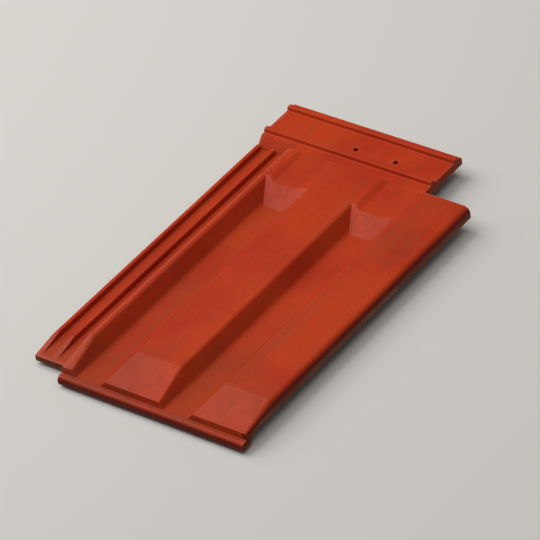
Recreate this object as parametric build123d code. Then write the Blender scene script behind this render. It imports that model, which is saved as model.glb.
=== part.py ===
from build123d import *
import os

# Interlocking clay roof tile with two troughs and flat ribs, pressed and fired as one piece.
# Sizes in millimetres. While it is modelled, X runs across the tile from its side joint,
# Y runs up the slope from the front of the nose, and Z = 0 is the top of the nose.

# Laid size: what one tile covers, and what the next course and the next tile hide
cover_width = 220.0
cover_length = 369.0
head_lap = 81.0
side_lock_width = 41.0
joint_gap = 1.5

# Section across the tile
rib_height = 14.0
trough_floor = -1.0
trough_width = 25.6
shoulder_width = 6.8
lap_room = 17.2
near_run = 12.6
far_run = 13.0
rim_radius = 6.0
valley_radius = 8.0
joint_radius = 2.2
cover_radius = 7.0
groove_radius = 1.5
edge_radius = 1.0
bend_radius = 2.0

# Clay thickness
floor_clay = 11.0
wall_clay = 9.5
roof_clay = 9.8
lap_clay = 9.0

# Nose and run-out of the ribs
nose_clay = 9.0
nose_length = 7.5
nose_radius = 5.0
nose_seat = 14.0
step_height = 6.3
step_draft = 1.2
toe_height = 0.6
runout_length = 46.0

# Upper end of the troughs and the shallow drains above them
ramp_to_nose = 34.0
ramp_run = 26.5
brink_radius = 5.0
drain_depth = 2.5
drain_side = 0.8
drain_run = 6.8

# Head: a flat bearing for the next course's nose, then the head lock
bearing_length = 12.0
head_floor = 9.5
lock_upstand = 4.0
lock_upstand_width = 8.0
first_upstand = 27.0
second_upstand = 67.0
lock_draft = 1.2

# Foot: the rib under the tile that drops between the two upstands of the tile below
foot_clay = 8.0
foot_rib_start = 44.0
foot_rib_width = 8.0
foot_rib_end = -11.5

# Side lock on the left, under the neighbour's cover rib
lock_floor = -1.0
lock_top = 4.0
lock_wall = 6.0
outer_groove = 11.0
middle_wall = 7.0
side_lock_setback = 18.0
lap_rib_width = 5.0
lap_rib_end = 1.5
lap_skirt_width = 7.5
lap_skirt_end = 1.0

# Hanging nibs and nail holes at the head
nib_width = 26.0
nib_length = 14.0
nib_from_head = 8.0
nib_draft = 2.0
nib_radius = 3.0
nail_hole_diameter = 5.5
nail_hole_spacing = 48.0
nail_hole_from_nib = 15.0

# Worked out from the sizes above
tile_length = cover_length + head_lap
cover_edge = cover_width - joint_gap
trough_depth = rib_height - trough_floor
base = trough_floor - floor_clay
last_rim = cover_width - side_lock_width - lap_room
trough_pitch = last_rim - far_run - trough_width - near_run - shoulder_width
ramp_foot = cover_length - ramp_to_nose - ramp_run
runout_start = nose_length + runout_length
trough_lefts = [shoulder_width + near_run + i * trough_pitch for i in range(2)]
bearing_end = cover_length + bearing_length
head_under = head_floor - lap_clay
lap_ceiling = rib_height - lap_clay
far_slant = (far_run**2 + trough_depth**2) ** 0.5 / trough_depth
near_slant = (near_run**2 + trough_depth**2) ** 0.5 / trough_depth
ramp_slant = (ramp_run**2 + trough_depth**2) ** 0.5 / trough_depth
inner_wall = wall_clay
past = 20.0


def near_side(trough, z):
    """Where the left side of a trough is at height z."""
    return trough_lefts[trough] - near_run * (z - trough_floor) / trough_depth


def far_side(trough, z):
    """Where the right side of a trough is at height z."""
    return trough_lefts[trough] + trough_width + far_run * (z - trough_floor) / trough_depth


def lap_wall(z):
    """Where the hollow under the cover rib starts at height z."""
    return far_side(1, z) + wall_clay * far_slant


def ramp_side(z):
    """How far up the tile the ramp that closes a trough is at height z."""
    return ramp_foot + ramp_run * (z - trough_floor) / trough_depth


def runout(y):
    """Height of the ribs' tops over the run-out, and its plane carried on past it."""
    return step_height + (rib_height - step_height) * (y - nose_length) / runout_length


def trough_end(y):
    """Height of the troughs' floor, which rises a little over the nose along the run-out."""
    return toe_height + (trough_floor - toe_height) * (y - nose_length) / runout_length


def section(y, corners):
    """Face across the tile at y, from corners given as x, z and radius."""
    points = [(x, y, z) for x, z, r in corners]
    return make_face(FilletPolyline(*points, radius=[r for x, z, r in corners], close=True))


def profile(x, corners):
    """Face along the tile at x, from corners given as y, z and radius."""
    points = [(x, y, z) for y, z, r in corners]
    return make_face(FilletPolyline(*points, radius=[r for y, z, r in corners], close=True))


def along(corners, y_start, y_end):
    """Solid with one section from y_start to y_end."""
    return extrude(section(y_start, corners), amount=y_end - y_start, dir=(0, 1, 0))


def across(corners, x_start, x_end):
    """Solid with one profile from x_start to x_end."""
    return extrude(profile(x_start, corners), amount=x_end - x_start, dir=(1, 0, 0))


def crown_corners(rib_z, trough_z):
    """Shoulder, troughs and ribs over a flat base, from the joint side to the cover edge."""
    low = base - past
    share = (rib_z - trough_z) / trough_depth
    rim = rim_radius * share
    valley = valley_radius * share
    corners = [(0, low, 0), (0, rib_z, joint_radius)]
    for trough in range(2):
        corners += [
            (near_side(trough, rib_z), rib_z, rim),
            (near_side(trough, trough_z), trough_z, valley),
            (far_side(trough, trough_z), trough_z, valley),
            (far_side(trough, rib_z), rib_z, rim),
        ]
    return corners + [(cover_edge, rib_z, cover_radius * share), (cover_edge, low, 0)]


def crown():
    """The pressed face with its full section, and the ramps that close the troughs."""
    return along(crown_corners(rib_height, trough_floor), runout_start, bearing_end) + bearing()


def crown_front():
    """The pressed face where the ribs run out towards the nose."""
    front = crown_corners(runout(0), trough_end(0))
    full = crown_corners(rib_height, trough_floor)
    return loft([section(0, front), section(runout_start, full)], ruled=True)


def side_view():
    """Outline of the tile from its joint side: the nose, and the underside along its length."""
    rib_back = foot_rib_start + foot_rib_width
    corners = [
        (0, -nose_clay, edge_radius),
        (0, 0, nose_radius),
        (nose_length, 0, groove_radius),
        (nose_length + step_draft * past / step_height, past, 0),
        (bearing_end + past, past, 0),
        (bearing_end + past, base, 0),
        (head_lap + floor_clay, base, bend_radius),
        (head_lap + lock_draft, -foot_clay, bend_radius),
        (rib_back + lock_draft, -foot_clay, edge_radius),
        (rib_back, foot_rib_end, edge_radius),
        (foot_rib_start, foot_rib_end, edge_radius),
        (foot_rib_start - lock_draft, -foot_clay, edge_radius),
        (nose_seat + lock_draft, -foot_clay, 0),
        (nose_seat, -nose_clay, 0),
    ]
    return across(corners, -past, cover_width + past)


def bearing():
    """Fills the troughs' upper ends: the ramps, and the flat that carries the next nose."""
    low = trough_floor - floor_clay / 2
    corners = [
        (ramp_side(low), low, 0),
        (ramp_side(rib_height), rib_height, brink_radius),
        (bearing_end, rib_height, 0),
        (bearing_end, low, 0),
    ]
    return across(corners, shoulder_width / 2, far_side(1, rib_height) + rim_radius)


def lock_corners():
    """Floor of the head lock with its two upstands, from the bearing to the tile's end."""
    top = head_floor + lock_upstand
    corners = []
    for start in (first_upstand, second_upstand):
        y = cover_length + start
        corners += [
            (y, head_floor, lock_draft),
            (y + lock_draft, top, lock_draft),
            (y + lock_upstand_width - lock_draft, top, lock_draft),
            (y + lock_upstand_width, head_floor, lock_draft),
        ]
    corners += [(tile_length, head_floor, rim_radius / 2), (tile_length, head_under, 0)]
    return corners


def head():
    """Head lock beyond the bearing, with the upper end of the side lock's channel beside it."""
    inner = shoulder_width / 2
    step_back = bearing_end - lap_clay / 3
    corners = [(step_back, head_under, 0), (step_back, head_floor, 0)]
    corners += [(bearing_end, rib_height, 0), (bearing_end + lock_upstand, head_floor, 0)]
    body = across(corners + lock_corners(), inner, far_side(1, rib_height))
    rise_start = bearing_end + joint_gap
    rise_end = cover_length + first_upstand
    corners = [
        (rise_end, head_under, 0),
        (rise_start, lock_floor - lap_clay, 0),
        (rise_start, lock_floor, 0),
        (rise_end - lock_upstand_width / 2, head_floor, 0),
    ]
    body += across(corners + lock_corners(), -side_lock_width, inner)
    return body


def side_lock():
    """Water channel to the left of the shoulder: two grooves between upstanding walls."""
    left = -side_lock_width
    groove = left + lock_wall
    middle = groove + outer_groove
    inner = middle + middle_wall
    low = base - past
    corners = [
        (left, low, 0),
        (left, lock_top, groove_radius),
        (groove - lock_draft, lock_top, groove_radius),
        (groove, lock_floor, groove_radius),
        (middle, lock_floor, groove_radius),
        (middle + lock_draft, lock_top, groove_radius),
        (inner - lock_draft, lock_top, groove_radius),
        (inner, lock_floor, groove_radius),
        (joint_gap, lock_floor, 0),
        (joint_gap, trough_floor + trough_depth / 2, 0),
        (inner_wall, trough_floor + trough_depth / 2, 0),
        (inner_wall, low, 0),
    ]
    channel = along(corners, side_lock_setback, bearing_end + joint_gap)
    under = lock_floor - lap_clay
    outline = [
        (0, -foot_clay, 0),
        (0, runout(0) - roof_clay, 0),
        (tile_length, runout(tile_length) - roof_clay, 0),
        (tile_length, under, 0),
        (head_lap + floor_clay, under, bend_radius),
        (head_lap + lock_draft, -foot_clay, bend_radius),
    ]
    return channel & across(outline, left - past, inner_wall + past)


def inside(ceiling_clay, y_start, y_end):
    """Space that keeps ceiling_clay of clay under the ribs' tops, also over the run-out."""
    corners = [
        (y_start, base - past, 0),
        (y_start, runout(y_start) - ceiling_clay, 0),
        (runout_start, rib_height - ceiling_clay, 0),
        (y_end, rib_height - ceiling_clay, 0),
        (y_end, base - past, 0),
    ]
    return across(corners, -side_lock_width - past, cover_width + past)


def rib_hollow():
    """Hollow under the middle rib, which follows the troughs' sides."""
    low = base - past
    corners = [
        (far_side(0, low) + wall_clay * far_slant, low, 0),
        (far_side(0, rib_height) + wall_clay * far_slant, rib_height, 0),
        (near_side(1, rib_height) - wall_clay * near_slant, rib_height, 0),
        (near_side(1, low) - wall_clay * near_slant, low, 0),
    ]
    end = bearing_end - lap_clay
    return along(corners, nose_seat, end) & inside(roof_clay, nose_seat, end)


def lap_hollow():
    """Hollow under the cover rib for the neighbour's side lock, with its rib and edge skirt."""
    low = base - past
    groove = cover_width - side_lock_width + lock_wall
    rib = groove + (outer_groove - lap_rib_width) / 2
    skirt = cover_edge - lap_skirt_width
    corners = [
        (lap_wall(low), low, 0),
        (lap_wall(lap_ceiling), lap_ceiling, groove_radius),
        (rib - lock_draft, lap_ceiling, groove_radius),
        (rib, lap_rib_end, edge_radius),
        (rib + lap_rib_width, lap_rib_end, edge_radius),
        (rib + lap_rib_width + lock_draft, lap_ceiling, groove_radius),
        (skirt - lock_draft, lap_ceiling, groove_radius),
        (skirt, lap_skirt_end, edge_radius),
        (cover_edge + past, lap_skirt_end, 0),
        (cover_edge + past, low, 0),
    ]
    return along(corners, nose_seat, tile_length + past) & inside(lap_clay, nose_seat, tile_length + past)


def head_hollow():
    """Hollow under the bearing, between the shoulder's wall and the cover rib's wall."""
    ramp_back = ramp_foot + wall_clay * ramp_slant
    ceiling = rib_height - roof_clay
    low = base - past
    corners = [
        (ramp_back + ramp_run * (low - trough_floor) / trough_depth, low, 0),
        (ramp_back + ramp_run * (ceiling - trough_floor) / trough_depth, ceiling, bend_radius),
        (bearing_end - lap_clay, ceiling, bend_radius),
        (bearing_end - lap_clay / 3, head_under, 0),
        (bearing_end + past, head_under, 0),
        (bearing_end + past, low, 0),
    ]
    return across(corners, inner_wall, lap_wall(lap_ceiling) - wall_clay)


def drains():
    """Shallow drains from the head lock to the top of each ramp."""
    low = rib_height - drain_depth
    cuts = []
    for trough in range(2):
        left = trough_lefts[trough] - drain_side
        right = trough_lefts[trough] + trough_width
        corners = [
            (left - 2 * drain_run, rib_height + drain_depth, 0),
            (left, low, valley_radius),
            (right, low, valley_radius),
            (right + 2 * far_run, rib_height + drain_depth, 0),
        ]
        cuts.append(along(corners, ramp_foot, bearing_end + lock_upstand))
    return cuts


def nibs():
    """Two nibs that hang over the back of the batten."""
    back = tile_length - nib_from_head
    front = back - nib_length
    pieces = []
    for trough in range(2):
        centre = trough_lefts[trough] + trough_width / 2
        corners = [
            (front, base, nib_radius / 2),
            (front, head_under + 1, 0),
            (back + nib_draft, head_under + 1, 0),
            (back, base, nib_radius),
        ]
        pieces.append(across(corners, centre - nib_width / 2, centre + nib_width / 2))
    return pieces


def nail_holes():
    """Two nail holes between the nibs."""
    centre = (trough_lefts[0] + trough_lefts[1] + trough_width) / 2
    y = tile_length - nib_from_head - nib_length - nail_hole_from_nib
    radius = nail_hole_diameter / 2
    height = rib_height + past - base
    holes = []
    for side in (-1, 1):
        place = Location((centre + side * nail_hole_spacing / 2, y, base))
        holes.append(place * Cylinder(radius, height, align=(Align.CENTER, Align.CENTER, Align.MIN)))
    return holes


def roof_tile():
    """The whole tile, with its origin under the middle of its outline."""
    outline = side_view()
    tile = (crown() & outline) + (crown_front() & outline)
    tile -= rib_hollow()
    tile -= lap_hollow()
    tile -= head_hollow()
    tile += side_lock()
    tile += head()
    for cut in drains() + nail_holes():
        tile -= cut
    for nib in nibs():
        tile += nib
    middle = (cover_edge - side_lock_width) / 2
    return Location((-middle, -tile_length / 2, -base)) * tile


os.makedirs("parts", exist_ok=True)
export_step(roof_tile(), "parts/roof_tile.step")
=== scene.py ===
import math

import bmesh
import bpy
from mathutils import Matrix, Vector
from mathutils.bvhtree import BVHTree


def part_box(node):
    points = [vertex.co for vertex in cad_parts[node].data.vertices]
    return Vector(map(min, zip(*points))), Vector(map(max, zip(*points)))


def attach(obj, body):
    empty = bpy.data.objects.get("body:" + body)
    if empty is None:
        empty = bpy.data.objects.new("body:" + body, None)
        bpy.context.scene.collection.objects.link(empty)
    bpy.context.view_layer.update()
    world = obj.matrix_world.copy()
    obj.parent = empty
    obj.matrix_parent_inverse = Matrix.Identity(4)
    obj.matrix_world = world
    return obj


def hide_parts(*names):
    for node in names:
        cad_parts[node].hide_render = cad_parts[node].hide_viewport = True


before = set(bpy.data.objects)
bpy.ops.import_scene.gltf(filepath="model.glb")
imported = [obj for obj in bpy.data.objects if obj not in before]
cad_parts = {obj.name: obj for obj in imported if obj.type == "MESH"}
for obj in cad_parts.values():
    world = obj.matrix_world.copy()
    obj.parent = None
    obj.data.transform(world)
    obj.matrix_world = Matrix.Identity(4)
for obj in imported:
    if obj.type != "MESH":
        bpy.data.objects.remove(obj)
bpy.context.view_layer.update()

bl_info = {
    "name": "Interlocking clay roof tile",
    "version": (1, 0, 0),
    "blender": (4, 5, 0),
    "location": "View3D > Sidebar > Roof Tile",
    "description": "Dresses a pressed clay roof tile in its fired engobe and sets it on a studio floor",
    "category": "Object",
}

TILE = "roof_tile"

# Measures of the surface mesh, with lengths in metres

MERGE_WITHIN = 1e-6
FLAT_ANGLE = math.radians(0.4)
SHARP_ANGLE = math.radians(32)
DRAG_STRETCH = (1.0, 0.03, 1.0)

# Slack at the shoulder's edge, and the height of the normal on a face that looks up or down
EDGE_SLACK = 0.0005
FACES_UP = 0.3
FACES_DOWN = -0.5

# How far a ray to the spray starts off the surface and above it, and how far up it looks for clay
RAY_OFF = 0.0006
RAY_LIFT = 0.0002
SPRAY_REACH = 0.1

# How often the slip and the edges' wear and painted highlight are evened out, how strong these are, and the
# painted highlight on the shoulder
SLIP_ROUNDS = 3
WEAR_AND_HIGHLIGHT_ROUNDS = 1
WEAR_AND_HIGHLIGHT_GAIN = 2.2
SHOULDER_HIGHLIGHT = 0.5

# Measures of the engobe's patterns and of the bare clay, with lengths in metres

BARE_ROUGHNESS = 0.85

# How the pattern of the brown clouds differs from that of the patches in scale, place and proportions
CLOUD_SCALE = 0.66
CLOUD_SHIFT = (0.31, 0.17, 0.05)
CLOUD_STRETCH = (1.0, 0.6, 1.0)

# Height over which silt ends, half the width over which the painted shade ends, and depth of the cover rib's
# side that gets painted shade
SILT_FADE = 0.004
SHADE_FADE = 0.001
COVER_SIDE = 0.005

# The camera's right and back axes, at the photograph's viewing angle

CAMERA_RIGHT = Vector((0.8041, 0.5808, -0.1271))
CAMERA_BACK = Vector((0.5258, -0.5947, 0.6084))


# Colours

def to_linear(hex_colour):
    """Turns an sRGB hex value into linear red, green, blue and alpha."""
    parts = [int(hex_colour[i:i + 2], 16) / 255 for i in (1, 3, 5)]
    linear = [p / 12.92 if p <= 0.04045 else ((p + 0.055) / 1.055) ** 2.4 for p in parts]
    return (*linear, 1.0)


def colour_property(name, description, hex_colour):
    """A colour setting whose default is an sRGB hex value."""
    return bpy.props.FloatVectorProperty(
        name=name,
        description=description,
        default=to_linear(hex_colour),
        size=4,
        min=0.0,
        max=1.0,
        subtype="COLOR",
    )


def length_property(name, description, millimetres):
    """A length setting in metres whose default is given in millimetres."""
    return bpy.props.FloatProperty(
        name=name,
        description=description,
        default=millimetres / 1000,
        min=0.0,
        precision=5,
        unit="LENGTH",
    )


# Settings

class EngobeSettings(bpy.types.PropertyGroup):
    """Colours and pattern sizes of the fired engobe and of the bare clay under it."""

    red: colour_property("Engobe", "Main red of the fired engobe", "#B42C09")
    bright: colour_property("Bright engobe", "Brighter orange patches", "#C13A0C")
    brown: colour_property("Brown engobe", "Browner patches and streaks", "#8E3A14")
    # The worn edge colour is partly wear and partly a painted highlight on rounded edges and the shoulder
    worn_and_highlight: colour_property("Worn edge", "Edges where the engobe is thin and pale", "#C4563A")
    bare: colour_property("Bare clay", "Clay without engobe on the underside", "#B4653F")
    silt: colour_property("Silt", "Dried silt in the troughs and locks", "#9A4018")
    silt_top: length_property("Silt height", "Height above the floor up to which silt dries", 16)
    # Painted shade: a dark colour on steep low faces, the cover rib's side, the nose and the troughs' sides;
    # the nose length sets how far the faint painted shade on the nose reaches
    painted_shade: colour_property("Grime", "Damp grime on the steep edges", "#620804")
    shade_top: length_property("Grime height", "Height above the floor up to which rain splashes grime", 12)
    nose_length: length_property("Nose length", "Length of the damp nose in front of the step", 7.5)
    spot: colour_property("Iron spots", "Dark iron spots in the clay and engobe", "#6E2A12")
    spot_size: length_property("Spot size", "Width of the larger iron spots", 2.8)
    spot_spacing: length_property("Spot spacing", "Spacing of the iron spots", 10)
    dust: colour_property("Clay dust", "Paler dust on the bare clay", "#C98C69")
    patch_size: length_property("Patch size", "Width of the patches of tone", 75)
    streak_width: length_property("Streak width", "Width of the streaks along the tile", 5)
    streak_length: length_property("Streak length", "Length of the streaks along the tile", 240)
    grain_size: length_property("Grain size", "Size of the grain in the fired slip", 1.2)
    grain_depth: length_property("Grain depth", "Height of the grain in the fired slip", 0.06)
    roughness: bpy.props.FloatProperty(
        name="Roughness",
        description="Roughness of the satin engobe",
        default=0.42,
        min=0.0,
        max=1.0,
        subtype="FACTOR",
    )


class ReliefSettings(bpy.types.PropertyGroup):
    """Sizes of the shallow unevenness that pressing and firing leave in the clay."""

    cell: length_property("Mesh cell", "Spacing of the points in the tile's surface mesh", 4.5)
    # The side lock, shoulder, head lock and shoulder's low end place a painted highlight on the shoulder's
    # top
    side_lock: length_property("Side lock", "Width of the side lock, up to the shoulder", 41)
    shoulder_highlight_width: length_property("Shoulder", "Width of the worn shoulder beside the side lock", 4)
    head_lock: length_property("Head lock", "Length of the head lock beyond the shoulder", 69)
    shoulder_highlight_low: length_property("Shoulder's low end", "Height above the floor where its wear starts", 18)
    wave_length: length_property("Wave length", "Length of the gentle waves in the flats", 60)
    wave_depth: length_property("Wave depth", "Height of the gentle waves in the flats", 0.25)
    drag_spacing: length_property("Drag spacing", "Spacing of the drag lines along the tile", 8)
    drag_depth: length_property("Drag depth", "Height of the drag lines along the tile", 0.08)
    seed: bpy.props.IntProperty(
        name="Seed",
        description="Picks one tile's own unevenness",
        default=7,
        min=0,
    )


class StudioSettings(bpy.types.PropertyGroup):
    """The floor, the light and the camera."""

    floor: colour_property("Floor", "Pale floor", "#D8D5CF")
    bounce: colour_property("Floor bounce", "Tone of the light that the floor throws back", "#78625A")
    floor_width: length_property("Floor width", "Width of the floor", 9000)
    key_watts: bpy.props.FloatProperty(
        name="Key light",
        description="Power of the large soft light on the side lock's side",
        default=47.0,
        min=0.0,
        unit="POWER",
    )
    key_width: length_property("Key width", "Width of the large soft light", 2400)
    key_distance: length_property("Key distance", "From the soft light to the middle of the tile", 2600)
    key_from: bpy.props.FloatVectorProperty(
        name="Key direction",
        description="Direction from the tile to the soft light",
        default=(-0.66, -0.06, 0.75),
        size=3,
        subtype="DIRECTION",
    )
    top_watts: bpy.props.FloatProperty(
        name="Top light",
        description="Power of the wide soft light overhead",
        default=36.0,
        min=0.0,
        unit="POWER",
    )
    top_width: length_property("Top width", "Width of the soft light overhead", 3400)
    top_height: length_property("Top height", "Height of the soft light overhead", 3000)
    sky_strength: bpy.props.FloatProperty(
        name="Sky",
        description="Strength of the even light from all round",
        default=0.2,
        min=0.0,
        max=1.0,
        subtype="FACTOR",
    )
    distance: length_property("Camera distance", "From the camera to the middle of the tile", 4700)
    focal: bpy.props.FloatProperty(
        name="Focal length",
        description="Focal length of the camera's lens",
        default=325.0,
        min=10.0,
        unit="CAMERA",
    )


# Node helpers

COLOUR_MIX = {"data_type": "RGBA"}


def find_socket(sockets, key):
    """The socket with this identifier, or else with this name."""
    for socket in sockets:
        if socket.identifier == key:
            return socket
    return sockets[key]


def add_node(tree, kind, settings=None, values=None, links=None):
    """Adds a node, sets its properties and its inputs' values, and links inputs to other nodes' outputs."""
    node = tree.nodes.new(kind)
    for name, value in (settings or {}).items():
        setattr(node, name, value)
    for name, value in (values or {}).items():
        find_socket(node.inputs, name).default_value = value
    for name, (source, output) in (links or {}).items():
        tree.links.new(find_socket(source.outputs, output), find_socket(node.inputs, name))
    return node


# Fired clay with a sprayed engobe, a thin satin skin of fine red slip sprayed on before firing.
# To the eye it gives a soft sheen that pales the facets that face the light, tones that drift from
# orange to brown, faint streaks along the tile and paler edges, partly wear and partly a painted highlight.
# Painted shade darkens steep low faces, the cover rib's side, the nose and the troughs' sides. Below, the
# bare clay is matt and dusty.

def kiln_patches(tree, coords, engobe):
    """Amount of the patches of tone from the kiln's flame, about a hand wide."""
    patches = add_node(
        tree, "ShaderNodeTexNoise",
        values={"Scale": 1 / engobe.patch_size, "Detail": 3.0, "Roughness": 0.55},
        links={"Vector": (coords, "Object")},
    )
    return add_node(
        tree, "ShaderNodeMapRange",
        values={"From Min": 0.36, "From Max": 0.62},
        links={"Value": (patches, "Fac")},
    )


def brown_clouds(tree, coords, engobe):
    """Noise of the browner clouds, half as large again as the patches."""
    cloud_place = add_node(
        tree, "ShaderNodeMapping",
        values={"Location": CLOUD_SHIFT, "Scale": CLOUD_STRETCH},
        links={"Vector": (coords, "Object")},
    )
    return add_node(
        tree, "ShaderNodeTexNoise",
        values={"Scale": CLOUD_SCALE / engobe.patch_size, "Detail": 4.0, "Roughness": 0.6},
        links={"Vector": (cloud_place, "Vector")},
    )


def slip_streaks(tree, coords, engobe):
    """Noise of the streaks that run down the tile."""
    stretch = add_node(
        tree, "ShaderNodeMapping",
        values={"Scale": (1 / engobe.streak_width, 1 / engobe.streak_length, 1 / engobe.streak_width)},
        links={"Vector": (coords, "Object")},
    )
    return add_node(
        tree, "ShaderNodeTexNoise",
        values={"Scale": 1.0, "Detail": 4.0, "Roughness": 0.6},
        links={"Vector": (stretch, "Vector")},
    )


def engobe_tone(tree, engobe, patches, clouds, streaks):
    """Red engobe, brighter in the patches and browner in the clouds and streaks."""
    tone = add_node(
        tree, "ShaderNodeMix", COLOUR_MIX,
        values={"A_Color": engobe.red, "B_Color": engobe.bright},
        links={"Factor_Float": (patches, "Result")},
    )
    cloud_range = add_node(
        tree, "ShaderNodeMapRange",
        values={"From Min": 0.5, "From Max": 0.72, "To Max": 0.55},
        links={"Value": (clouds, "Fac")},
    )
    clouded = add_node(
        tree, "ShaderNodeMix", COLOUR_MIX,
        values={"B_Color": engobe.brown},
        links={"Factor_Float": (cloud_range, "Result"), "A_Color": (tone, "Result_Color")},
    )
    streak_range = add_node(
        tree, "ShaderNodeMapRange",
        values={"From Min": 0.48, "From Max": 0.75, "To Max": 0.4},
        links={"Value": (streaks, "Fac")},
    )
    return add_node(
        tree, "ShaderNodeMix", COLOUR_MIX,
        values={"B_Color": engobe.brown},
        links={"Factor_Float": (streak_range, "Result"), "A_Color": (clouded, "Result_Color")},
    )


def with_silt(tree, engobe, place, clouds, colour):
    """Colour with silt that dries in the troughs and locks, below the ribs, most where the clouds are."""
    low_ground = add_node(
        tree, "ShaderNodeMapRange",
        values={"From Min": engobe.silt_top, "From Max": engobe.silt_top - SILT_FADE, "To Max": 0.28},
        links={"Value": (place, "Z")},
    )
    silt_range = add_node(
        tree, "ShaderNodeMapRange",
        values={"From Min": 0.42, "From Max": 0.6, "To Min": 0.25},
        links={"Value": (clouds, "Fac")},
    )
    silt_amount = add_node(
        tree, "ShaderNodeMath", {"operation": "MULTIPLY"},
        links={"Value": (low_ground, "Result"), "Value_001": (silt_range, "Result")},
    )
    return add_node(
        tree, "ShaderNodeMix", COLOUR_MIX,
        values={"B_Color": engobe.silt},
        links={"Factor_Float": (silt_amount, "Value"), "A_Color": (colour, "Result_Color")},
    )


def with_pale_edges_and_highlight(tree, engobe, grain, colour):
    """Colour with paler edges, partly where the slip ran thin and partly a painted highlight on rounded
    edges, broken up by the grain.
    """
    wear_and_highlight = add_node(tree, "ShaderNodeAttribute", {"attribute_name": "worn_and_highlight"})
    broken = add_node(
        tree, "ShaderNodeMath", {"operation": "MULTIPLY"},
        links={"Value": (wear_and_highlight, "Fac"), "Value_001": (grain, "Fac")},
    )
    pale_edge_range = add_node(
        tree, "ShaderNodeMapRange",
        values={"From Min": 0.1, "From Max": 0.3, "To Max": 0.6},
        links={"Value": (broken, "Value")},
    )
    return add_node(
        tree, "ShaderNodeMix", COLOUR_MIX,
        values={"B_Color": engobe.worn_and_highlight},
        links={"Factor_Float": (pale_edge_range, "Result"), "A_Color": (colour, "Result_Color")},
    )


def with_painted_shade(tree, engobe, place, front, cover_edge, colour):
    """Colour with painted shade, strong on the steep low faces and the cover rib's side and faint on the nose
    and the troughs' sides.
    """
    facing = add_node(tree, "ShaderNodeNewGeometry")
    upright = add_node(tree, "ShaderNodeSeparateXYZ", links={"Vector": (facing, "Normal")})

    # Strong painted shade on steep faces, low down and on the cover rib's side
    steep = add_node(
        tree, "ShaderNodeMapRange",
        values={"From Min": 0.8, "From Max": 0.4, "To Max": 0.88},
        links={"Value": (upright, "Z")},
    )
    low_down = add_node(
        tree, "ShaderNodeMapRange",
        values={"From Min": engobe.shade_top + SHADE_FADE, "From Max": engobe.shade_top - SHADE_FADE},
        links={"Value": (place, "Z")},
    )
    side_start = cover_edge - COVER_SIDE
    shaded_cover_side = add_node(
        tree, "ShaderNodeMapRange",
        values={"From Min": side_start - SHADE_FADE, "From Max": side_start + SHADE_FADE},
        links={"Value": (place, "X")},
    )
    outside = add_node(
        tree, "ShaderNodeMath", {"operation": "MAXIMUM"},
        links={"Value": (low_down, "Result"), "Value_001": (shaded_cover_side, "Result")},
    )
    thick_shade = add_node(
        tree, "ShaderNodeMath", {"operation": "MULTIPLY"},
        links={"Value": (steep, "Result"), "Value_001": (outside, "Value")},
    )

    # Faint painted shade on the nose and on the sides of the troughs
    nose_back = front + engobe.nose_length
    nose_shade = add_node(
        tree, "ShaderNodeMapRange",
        values={"From Min": nose_back + SHADE_FADE, "From Max": nose_back - SHADE_FADE, "To Max": 0.2},
        links={"Value": (place, "Y")},
    )
    sideways = add_node(
        tree, "ShaderNodeMath", {"operation": "ABSOLUTE"},
        links={"Value": (upright, "X")},
    )
    side_facing = add_node(
        tree, "ShaderNodeMapRange",
        values={"From Min": 0.4, "From Max": 0.7, "To Max": 0.2},
        links={"Value": (sideways, "Value")},
    )
    thin_shade = add_node(
        tree, "ShaderNodeMath", {"operation": "MAXIMUM"},
        links={"Value": (nose_shade, "Result"), "Value_001": (side_facing, "Result")},
    )
    shade_amount = add_node(
        tree, "ShaderNodeMath", {"operation": "MAXIMUM"},
        links={"Value": (thick_shade, "Value"), "Value_001": (thin_shade, "Value")},
    )
    return add_node(
        tree, "ShaderNodeMix", COLOUR_MIX,
        values={"B_Color": engobe.painted_shade},
        links={"Factor_Float": (shade_amount, "Value"), "A_Color": (colour, "Result_Color")},
    )


def with_iron_spots(tree, engobe, coords, colour):
    """Colour with sparse iron spots of mixed sizes that bleed through in the firing."""
    spots = add_node(
        tree, "ShaderNodeTexVoronoi",
        values={"Scale": 1 / engobe.spot_spacing, "Randomness": 1.0},
        links={"Vector": (coords, "Object")},
    )
    pick = add_node(tree, "ShaderNodeSeparateColor", links={"Color": (spots, "Color")})
    spot_share = engobe.spot_size / engobe.spot_spacing / 2
    spot_width = add_node(
        tree, "ShaderNodeMapRange",
        values={"From Min": 0.35, "From Max": 1.0, "To Max": spot_share},
        links={"Value": (pick, "Red")},
    )
    inside = add_node(
        tree, "ShaderNodeMath", {"operation": "SUBTRACT"},
        links={"Value": (spot_width, "Result"), "Value_001": (spots, "Distance")},
    )
    spot_amount = add_node(
        tree, "ShaderNodeMapRange",
        values={"From Min": 0.0, "From Max": spot_share / 2, "To Max": 0.55},
        links={"Value": (inside, "Value")},
    )
    return add_node(
        tree, "ShaderNodeMix", COLOUR_MIX,
        values={"B_Color": engobe.spot},
        links={"Factor_Float": (spot_amount, "Result"), "A_Color": (colour, "Result_Color")},
    )


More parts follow.
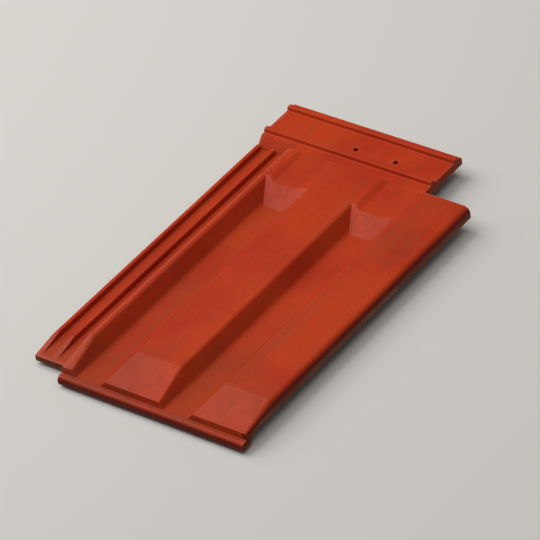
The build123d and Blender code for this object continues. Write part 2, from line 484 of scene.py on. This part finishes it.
def engobed_fired_clay(engobe, front, cover_edge):
    """Material of the whole tile, for its mesh's slip and its wear with painted highlight, and the places of
    its front and cover edge, where painted shade lies.
    """
    material = bpy.data.materials.new("engobed_fired_clay")
    material.use_nodes = True
    tree = material.node_tree
    tree.nodes.clear()
    coords = add_node(tree, "ShaderNodeTexCoord")
    place = add_node(tree, "ShaderNodeSeparateXYZ", links={"Vector": (coords, "Object")})
    patches = kiln_patches(tree, coords, engobe)
    clouds = brown_clouds(tree, coords, engobe)
    streaks = slip_streaks(tree, coords, engobe)

    # Real grain is well under a millimetre, so it is drawn coarser than it is, to show at all
    grain = add_node(
        tree, "ShaderNodeTexNoise",
        values={"Scale": 1 / engobe.grain_size, "Detail": 2.0, "Roughness": 0.5},
        links={"Vector": (coords, "Object")},
    )
    red = engobe_tone(tree, engobe, patches, clouds, streaks)
    silted = with_silt(tree, engobe, place, clouds, red)
    # Paler edges, partly wear and partly a painted highlight
    edged = with_pale_edges_and_highlight(tree, engobe, grain, silted)
    # Painted shade on steep low faces, the cover rib's side, the nose and the troughs' sides
    shaded = with_painted_shade(tree, engobe, place, front, cover_edge, edged)

    # Bare clay where the spray didn't reach
    bare = add_node(
        tree, "ShaderNodeMix", COLOUR_MIX,
        values={"A_Color": engobe.bare, "B_Color": engobe.dust},
        links={"Factor_Float": (patches, "Result")},
    )
    slip = add_node(tree, "ShaderNodeAttribute", {"attribute_name": "slip"})
    clay = add_node(
        tree, "ShaderNodeMix", COLOUR_MIX,
        links={
            "Factor_Float": (slip, "Fac"),
            "A_Color": (bare, "Result_Color"),
            "B_Color": (shaded, "Result_Color"),
        },
    )
    spotted = with_iron_spots(tree, engobe, coords, clay)

    # The grain's own tone, up to a tenth lighter or darker
    grain_tone = add_node(
        tree, "ShaderNodeMapRange",
        values={"From Min": 0.3, "From Max": 0.7, "To Min": 0.9, "To Max": 1.1},
        links={"Value": (grain, "Fac")},
    )
    toned = add_node(
        tree, "ShaderNodeHueSaturation",
        links={"Color": (spotted, "Result_Color"), "Value": (grain_tone, "Result")},
    )

    # Satin on the engobe, matt on the bare clay
    satin = add_node(
        tree, "ShaderNodeMapRange",
        values={
            "From Min": 0.3, "From Max": 0.7,
            "To Min": engobe.roughness - 0.05, "To Max": engobe.roughness + 0.07,
        },
        links={"Value": (streaks, "Fac")},
    )
    gloss = add_node(
        tree, "ShaderNodeMix", {"data_type": "FLOAT"},
        values={"A_Float": BARE_ROUGHNESS},
        links={"Factor_Float": (slip, "Fac"), "B_Float": (satin, "Result")},
    )
    bump = add_node(
        tree, "ShaderNodeBump",
        values={"Strength": 0.6, "Distance": engobe.grain_depth},
        links={"Height": (grain, "Fac")},
    )
    shader = add_node(
        tree, "ShaderNodeBsdfPrincipled",
        values={"IOR": 1.5, "Specular IOR Level": 0.17},
        links={
            "Base Color": (toned, "Color"),
            "Roughness": (gloss, "Result_Float"),
            "Normal": (bump, "Normal"),
        },
    )
    add_node(tree, "ShaderNodeOutputMaterial", links={"Surface": (shader, "BSDF")})
    return material


# Relief of the pressed clay

def relief_tree(material):
    """Geometry Nodes tree that sinks the surface by a wave and by drag lines, and never raises it."""
    tree = bpy.data.node_groups.new("pressed_clay_relief", "GeometryNodeTree")
    face = tree.interface
    face.new_socket("Geometry", in_out="INPUT", socket_type="NodeSocketGeometry")
    for name in ("Wave Length", "Wave Depth", "Drag Spacing", "Drag Depth", "Seed"):
        face.new_socket(name, in_out="INPUT", socket_type="NodeSocketFloat")
    face.new_socket("Geometry", in_out="OUTPUT", socket_type="NodeSocketGeometry")
    entry = add_node(tree, "NodeGroupInput")
    place = add_node(tree, "GeometryNodeInputPosition")
    normal = add_node(tree, "GeometryNodeInputNormal")

    wave_scale = add_node(
        tree, "ShaderNodeMath", {"operation": "DIVIDE"},
        values={"Value": 1.0},
        links={"Value_001": (entry, "Wave Length")},
    )
    wave = add_node(
        tree, "ShaderNodeTexNoise", {"noise_dimensions": "4D"},
        values={"Detail": 2.0, "Roughness": 0.4},
        links={"Vector": (place, "Position"), "Scale": (wave_scale, "Value"), "W": (entry, "Seed")},
    )
    wave_drop = add_node(
        tree, "ShaderNodeMath", {"operation": "MULTIPLY"},
        links={"Value": (wave, "Fac"), "Value_001": (entry, "Wave Depth")},
    )
    long_place = add_node(
        tree, "ShaderNodeVectorMath", {"operation": "MULTIPLY"},
        values={"Vector_001": DRAG_STRETCH},
        links={"Vector": (place, "Position")},
    )
    drag_scale = add_node(
        tree, "ShaderNodeMath", {"operation": "DIVIDE"},
        values={"Value": 1.0},
        links={"Value_001": (entry, "Drag Spacing")},
    )
    drag = add_node(
        tree, "ShaderNodeTexNoise", {"noise_dimensions": "4D"},
        values={"Detail": 1.0, "Roughness": 0.4},
        links={"Vector": (long_place, "Vector"), "Scale": (drag_scale, "Value"), "W": (entry, "Seed")},
    )
    drag_drop = add_node(
        tree, "ShaderNodeMath", {"operation": "MULTIPLY"},
        links={"Value": (drag, "Fac"), "Value_001": (entry, "Drag Depth")},
    )
    drop = add_node(
        tree, "ShaderNodeMath", {"operation": "ADD"},
        links={"Value": (wave_drop, "Value"), "Value_001": (drag_drop, "Value")},
    )
    sink = add_node(
        tree, "ShaderNodeMath", {"operation": "MULTIPLY"},
        values={"Value_001": -1.0},
        links={"Value": (drop, "Value")},
    )
    offset = add_node(
        tree, "ShaderNodeVectorMath", {"operation": "SCALE"},
        links={"Vector": (normal, "Normal"), "Scale": (sink, "Value")},
    )
    moved = add_node(
        tree, "GeometryNodeSetPosition",
        links={"Geometry": (entry, "Geometry"), "Offset": (offset, "Vector")},
    )
    real = add_node(tree, "GeometryNodeRealizeInstances", links={"Geometry": (moved, "Geometry")})
    dressed = add_node(
        tree, "GeometryNodeSetMaterial",
        values={"Material": material},
        links={"Geometry": (real, "Geometry")},
    )
    add_node(tree, "NodeGroupOutput", links={"Geometry": (dressed, "Geometry")})
    return tree


def set_inputs(modifier, values):
    """Sets a Geometry Nodes modifier's inputs, by the sockets' identifiers."""
    for item in modifier.node_group.interface.items_tree:
        if item.in_out == "INPUT" and item.name in values:
            modifier[item.identifier] = float(values[item.name])


# Surface mesh

def refine(bm, cell):
    """Cuts the surface along a grid of planes a cell apart, so that waves, wear and painted highlight have
    points to move.
    """
    bmesh.ops.dissolve_limit(bm, angle_limit=FLAT_ANGLE, verts=bm.verts, edges=bm.edges)
    low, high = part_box(TILE)
    for axis in range(3):
        steps = math.ceil((high[axis] - low[axis]) / cell)
        normal = Vector((axis == 0, axis == 1, axis == 2))
        for step in range(1, steps):
            place = normal * (low[axis] + (high[axis] - low[axis]) * step / steps)
            geometry = bm.verts[:] + bm.edges[:] + bm.faces[:]
            bmesh.ops.bisect_plane(bm, geom=geometry, dist=MERGE_WITHIN, plane_co=place, plane_no=normal)
    bmesh.ops.triangulate(bm, faces=bm.faces[:])


def smooth_values(bm, values, rounds):
    """Averages one value a vertex with its neighbours', a few times over."""
    for _ in range(rounds):
        before = list(values)
        for vertex in bm.verts:
            near = [before[e.other_vert(vertex).index] for e in vertex.link_edges]
            values[vertex.index] = (before[vertex.index] + sum(near) / len(near)) / 2
    return values


def slip_values(bm):
    """Near one for each vertex that the spray from above can reach, and near zero for the underside."""
    surface = BVHTree.FromBMesh(bm)
    up = Vector((0, 0, 1))
    values = []
    for vertex in bm.verts:
        start = vertex.co + vertex.normal * RAY_OFF + up * RAY_LIFT
        hit = surface.ray_cast(start, up, SPRAY_REACH)[0]
        hidden = hit is not None or vertex.normal.z < FACES_DOWN
        values.append(0.0 if hidden else 1.0)
    return smooth_values(bm, values, SLIP_ROUNDS)


def wear_and_highlight_values(bm, relief):
    """How pale each vertex is, by how sharply the surface falls away round it, partly wear and partly painted
    highlight, and by the painted highlight on the shoulder.
    """
    values = []
    low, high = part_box(TILE)
    shoulder_start = low[0] + relief.side_lock
    shoulder_end = high[1] - relief.head_lock
    for vertex in bm.verts:
        falls = []
        for edge in vertex.link_edges:
            arm = edge.other_vert(vertex).co - vertex.co
            falls.append(-vertex.normal.dot(arm) / max(arm.length, MERGE_WITHIN))
        wear_and_highlight = max(0.0, sum(falls) / len(falls)) * WEAR_AND_HIGHLIGHT_GAIN
        x, y, z = vertex.co
        # Painted highlight along the shoulder's top
        on_shoulder = -EDGE_SLACK < x - shoulder_start < relief.shoulder_highlight_width and y < shoulder_end
        on_top = z > relief.shoulder_highlight_low and vertex.normal.z > FACES_UP
        values.append(max(wear_and_highlight, SHOULDER_HIGHLIGHT) if on_shoulder and on_top else wear_and_highlight)
    return smooth_values(bm, values, WEAR_AND_HIGHLIGHT_ROUNDS)


def surface_mesh(source, relief):
    """Fine mesh on the tile's own faces, with the slip of each vertex and its wear and painted highlight."""
    bm = bmesh.new()
    bm.from_mesh(source.data)
    bmesh.ops.remove_doubles(bm, verts=bm.verts, dist=MERGE_WITHIN)
    refine(bm, relief.cell)
    bm.normal_update()
    bm.verts.ensure_lookup_table()
    bm.verts.index_update()
    slip = slip_values(bm)
    worn_and_highlight = wear_and_highlight_values(bm, relief)
    for edge in bm.edges:
        edge.smooth = edge.calc_face_angle(0) < SHARP_ANGLE
    for face in bm.faces:
        face.smooth = True
    mesh = bpy.data.meshes.new("pressed_clay")
    bm.to_mesh(mesh)
    bm.free()
    for name, values in (("slip", slip), ("worn_and_highlight", worn_and_highlight)):
        layer = mesh.attributes.new(name, "FLOAT", "POINT")
        layer.data.foreach_set("value", values)
    return mesh


class ROOFTILE_OT_add_tile(bpy.types.Operator):
    """Adds the dressed tile: its surface on the CAD solid, with relief, engobe, wear, painted highlight and
    painted shade
    """

    bl_idname = "rooftile.add_tile"
    bl_label = "Add Tile"

    def execute(self, context):
        scene = context.scene
        relief = scene.tile_relief
        low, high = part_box(TILE)
        material = engobed_fired_clay(scene.tile_engobe, low[1], high[0])
        mesh = surface_mesh(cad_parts[TILE], relief)
        if not mesh.polygons:
            raise RuntimeError("the tile's surface has no faces")
        rough = bpy.data.objects.new("rough_clay", mesh)
        scene.collection.objects.link(rough)
        press = rough.modifiers.new("relief", "NODES")
        press.node_group = relief_tree(material)
        set_inputs(press, {
            "Wave Length": relief.wave_length,
            "Wave Depth": relief.wave_depth,
            "Drag Spacing": relief.drag_spacing,
            "Drag Depth": relief.drag_depth,
            "Seed": relief.seed,
        })
        even = rough.modifiers.new("normals", "WEIGHTED_NORMAL")
        even.keep_sharp = True
        even.weight = 60
        context.view_layer.update()
        graph = context.evaluated_depsgraph_get()
        plain = bpy.data.meshes.new_from_object(rough.evaluated_get(graph), depsgraph=graph)
        plain.name = "clay_surface"
        bpy.data.objects.remove(rough)
        skin = bpy.data.objects.new("clay_surface", plain)
        scene.collection.objects.link(skin)
        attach(skin, "root")
        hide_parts(TILE)
        return {"FINISHED"}


# Studio

def pale_floor(studio):
    """Plain pale matt floor, which throws less light back on the tile than it shows the camera."""
    material = bpy.data.materials.new("matt_studio_floor")
    material.use_nodes = True
    tree = material.node_tree
    tree.nodes.clear()
    path = add_node(tree, "ShaderNodeLightPath")
    mirrored = add_node(
        tree, "ShaderNodeMath", {"operation": "MAXIMUM"},
        links={"Value": (path, "Is Glossy Ray"), "Value_001": (path, "Is Transmission Ray")},
    )
    seen = add_node(
        tree, "ShaderNodeMath", {"operation": "MAXIMUM"},
        links={"Value": (path, "Is Camera Ray"), "Value_001": (mirrored, "Value")},
    )
    tone = add_node(
        tree, "ShaderNodeMix", COLOUR_MIX,
        values={"A_Color": studio.bounce, "B_Color": studio.floor},
        links={"Factor_Float": (seen, "Value")},
    )
    shader = add_node(
        tree, "ShaderNodeBsdfDiffuse",
        links={"Color": (tone, "Result_Color")},
    )
    add_node(tree, "ShaderNodeOutputMaterial", links={"Surface": (shader, "BSDF")})
    return material


def aim(position, target):
    """Matrix that puts a lamp at a position and points it at a target."""
    turn = (position - target).to_track_quat("Z", "Y").to_matrix().to_4x4()
    return Matrix.Translation(position) @ turn


class ROOFTILE_OT_add_stage(bpy.types.Operator):
    """Adds the floor, the soft lights and the camera"""

    bl_idname = "rooftile.add_stage"
    bl_label = "Add Stage"

    def execute(self, context):
        scene = context.scene
        studio = scene.tile_studio
        half = studio.floor_width / 2
        mesh = bpy.data.meshes.new("floor")
        corners = [(-half, -half, 0), (half, -half, 0), (half, half, 0), (-half, half, 0)]
        mesh.from_pydata(corners, [], [(0, 1, 2, 3)])
        mesh.materials.append(pale_floor(studio))
        floor = bpy.data.objects.new("floor", mesh)
        scene.collection.objects.link(floor)

        low, high = (Vector(corner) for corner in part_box(TILE))
        middle = (low + high) / 2
        key_from = Vector(studio.key_from).normalized()
        for name, watts, width, offset in (
            ("key", studio.key_watts, studio.key_width, key_from * studio.key_distance),
            ("top", studio.top_watts, studio.top_width, Vector((0, 0, studio.top_height))),
        ):
            light = bpy.data.lights.new(name, "AREA")
            light.shape = "SQUARE"
            light.size = width
            light.energy = watts
            lamp = bpy.data.objects.new(name, light)
            scene.collection.objects.link(lamp)
            lamp.matrix_world = aim(middle + offset, middle)

        world = bpy.data.worlds.new("studio")
        world.use_nodes = True
        scene.world = world
        sky = world.node_tree.nodes["Background"]
        sky.inputs["Color"].default_value = (1.0, 1.0, 1.0, 1.0)
        sky.inputs["Strength"].default_value = studio.sky_strength

        camera = bpy.data.cameras.new("camera")
        camera.sensor_width = 36.0
        camera.lens = studio.focal
        camera.clip_end = 50.0
        eye = bpy.data.objects.new("camera", camera)
        scene.collection.objects.link(eye)
        back = CAMERA_BACK.normalized()
        up = back.cross(CAMERA_RIGHT).normalized()
        turn = Matrix((up.cross(back), up, back)).transposed().to_4x4()
        eye.matrix_world = Matrix.Translation(middle + back * studio.distance) @ turn
        scene.camera = eye
        scene.view_settings.view_transform = "Standard"
        return {"FINISHED"}


class ROOFTILE_PT_panel(bpy.types.Panel):
    """Settings and steps of the roof tile"""

    bl_idname = "ROOFTILE_PT_panel"
    bl_label = "Clay Roof Tile"
    bl_space_type = "VIEW_3D"
    bl_region_type = "UI"
    bl_category = "Roof Tile"

    def draw(self, context):
        for name, group in (
            ("Engobe", context.scene.tile_engobe),
            ("Relief", context.scene.tile_relief),
            ("Studio", context.scene.tile_studio),
        ):
            box = self.layout.box()
            box.label(text=name)
            for key in group.bl_rna.properties.keys():
                if key not in ("name", "rna_type"):
                    box.prop(group, key)
        for operator in (ROOFTILE_OT_add_tile, ROOFTILE_OT_add_stage):
            self.layout.operator(operator.bl_idname)


GROUPS = {
    "tile_engobe": EngobeSettings,
    "tile_relief": ReliefSettings,
    "tile_studio": StudioSettings,
}
CLASSES = (*GROUPS.values(), ROOFTILE_OT_add_tile, ROOFTILE_OT_add_stage, ROOFTILE_PT_panel)


def register():
    for cls in CLASSES:
        bpy.utils.register_class(cls)
    for name, group in GROUPS.items():
        setattr(bpy.types.Scene, name, bpy.props.PointerProperty(type=group))


def unregister():
    for name in GROUPS:
        delattr(bpy.types.Scene, name)
    for cls in reversed(CLASSES):
        bpy.utils.unregister_class(cls)


def main():
    """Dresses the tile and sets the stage."""
    register()
    bpy.ops.rooftile.add_tile()
    bpy.ops.rooftile.add_stage()


if __name__ == "__main__":
    main()
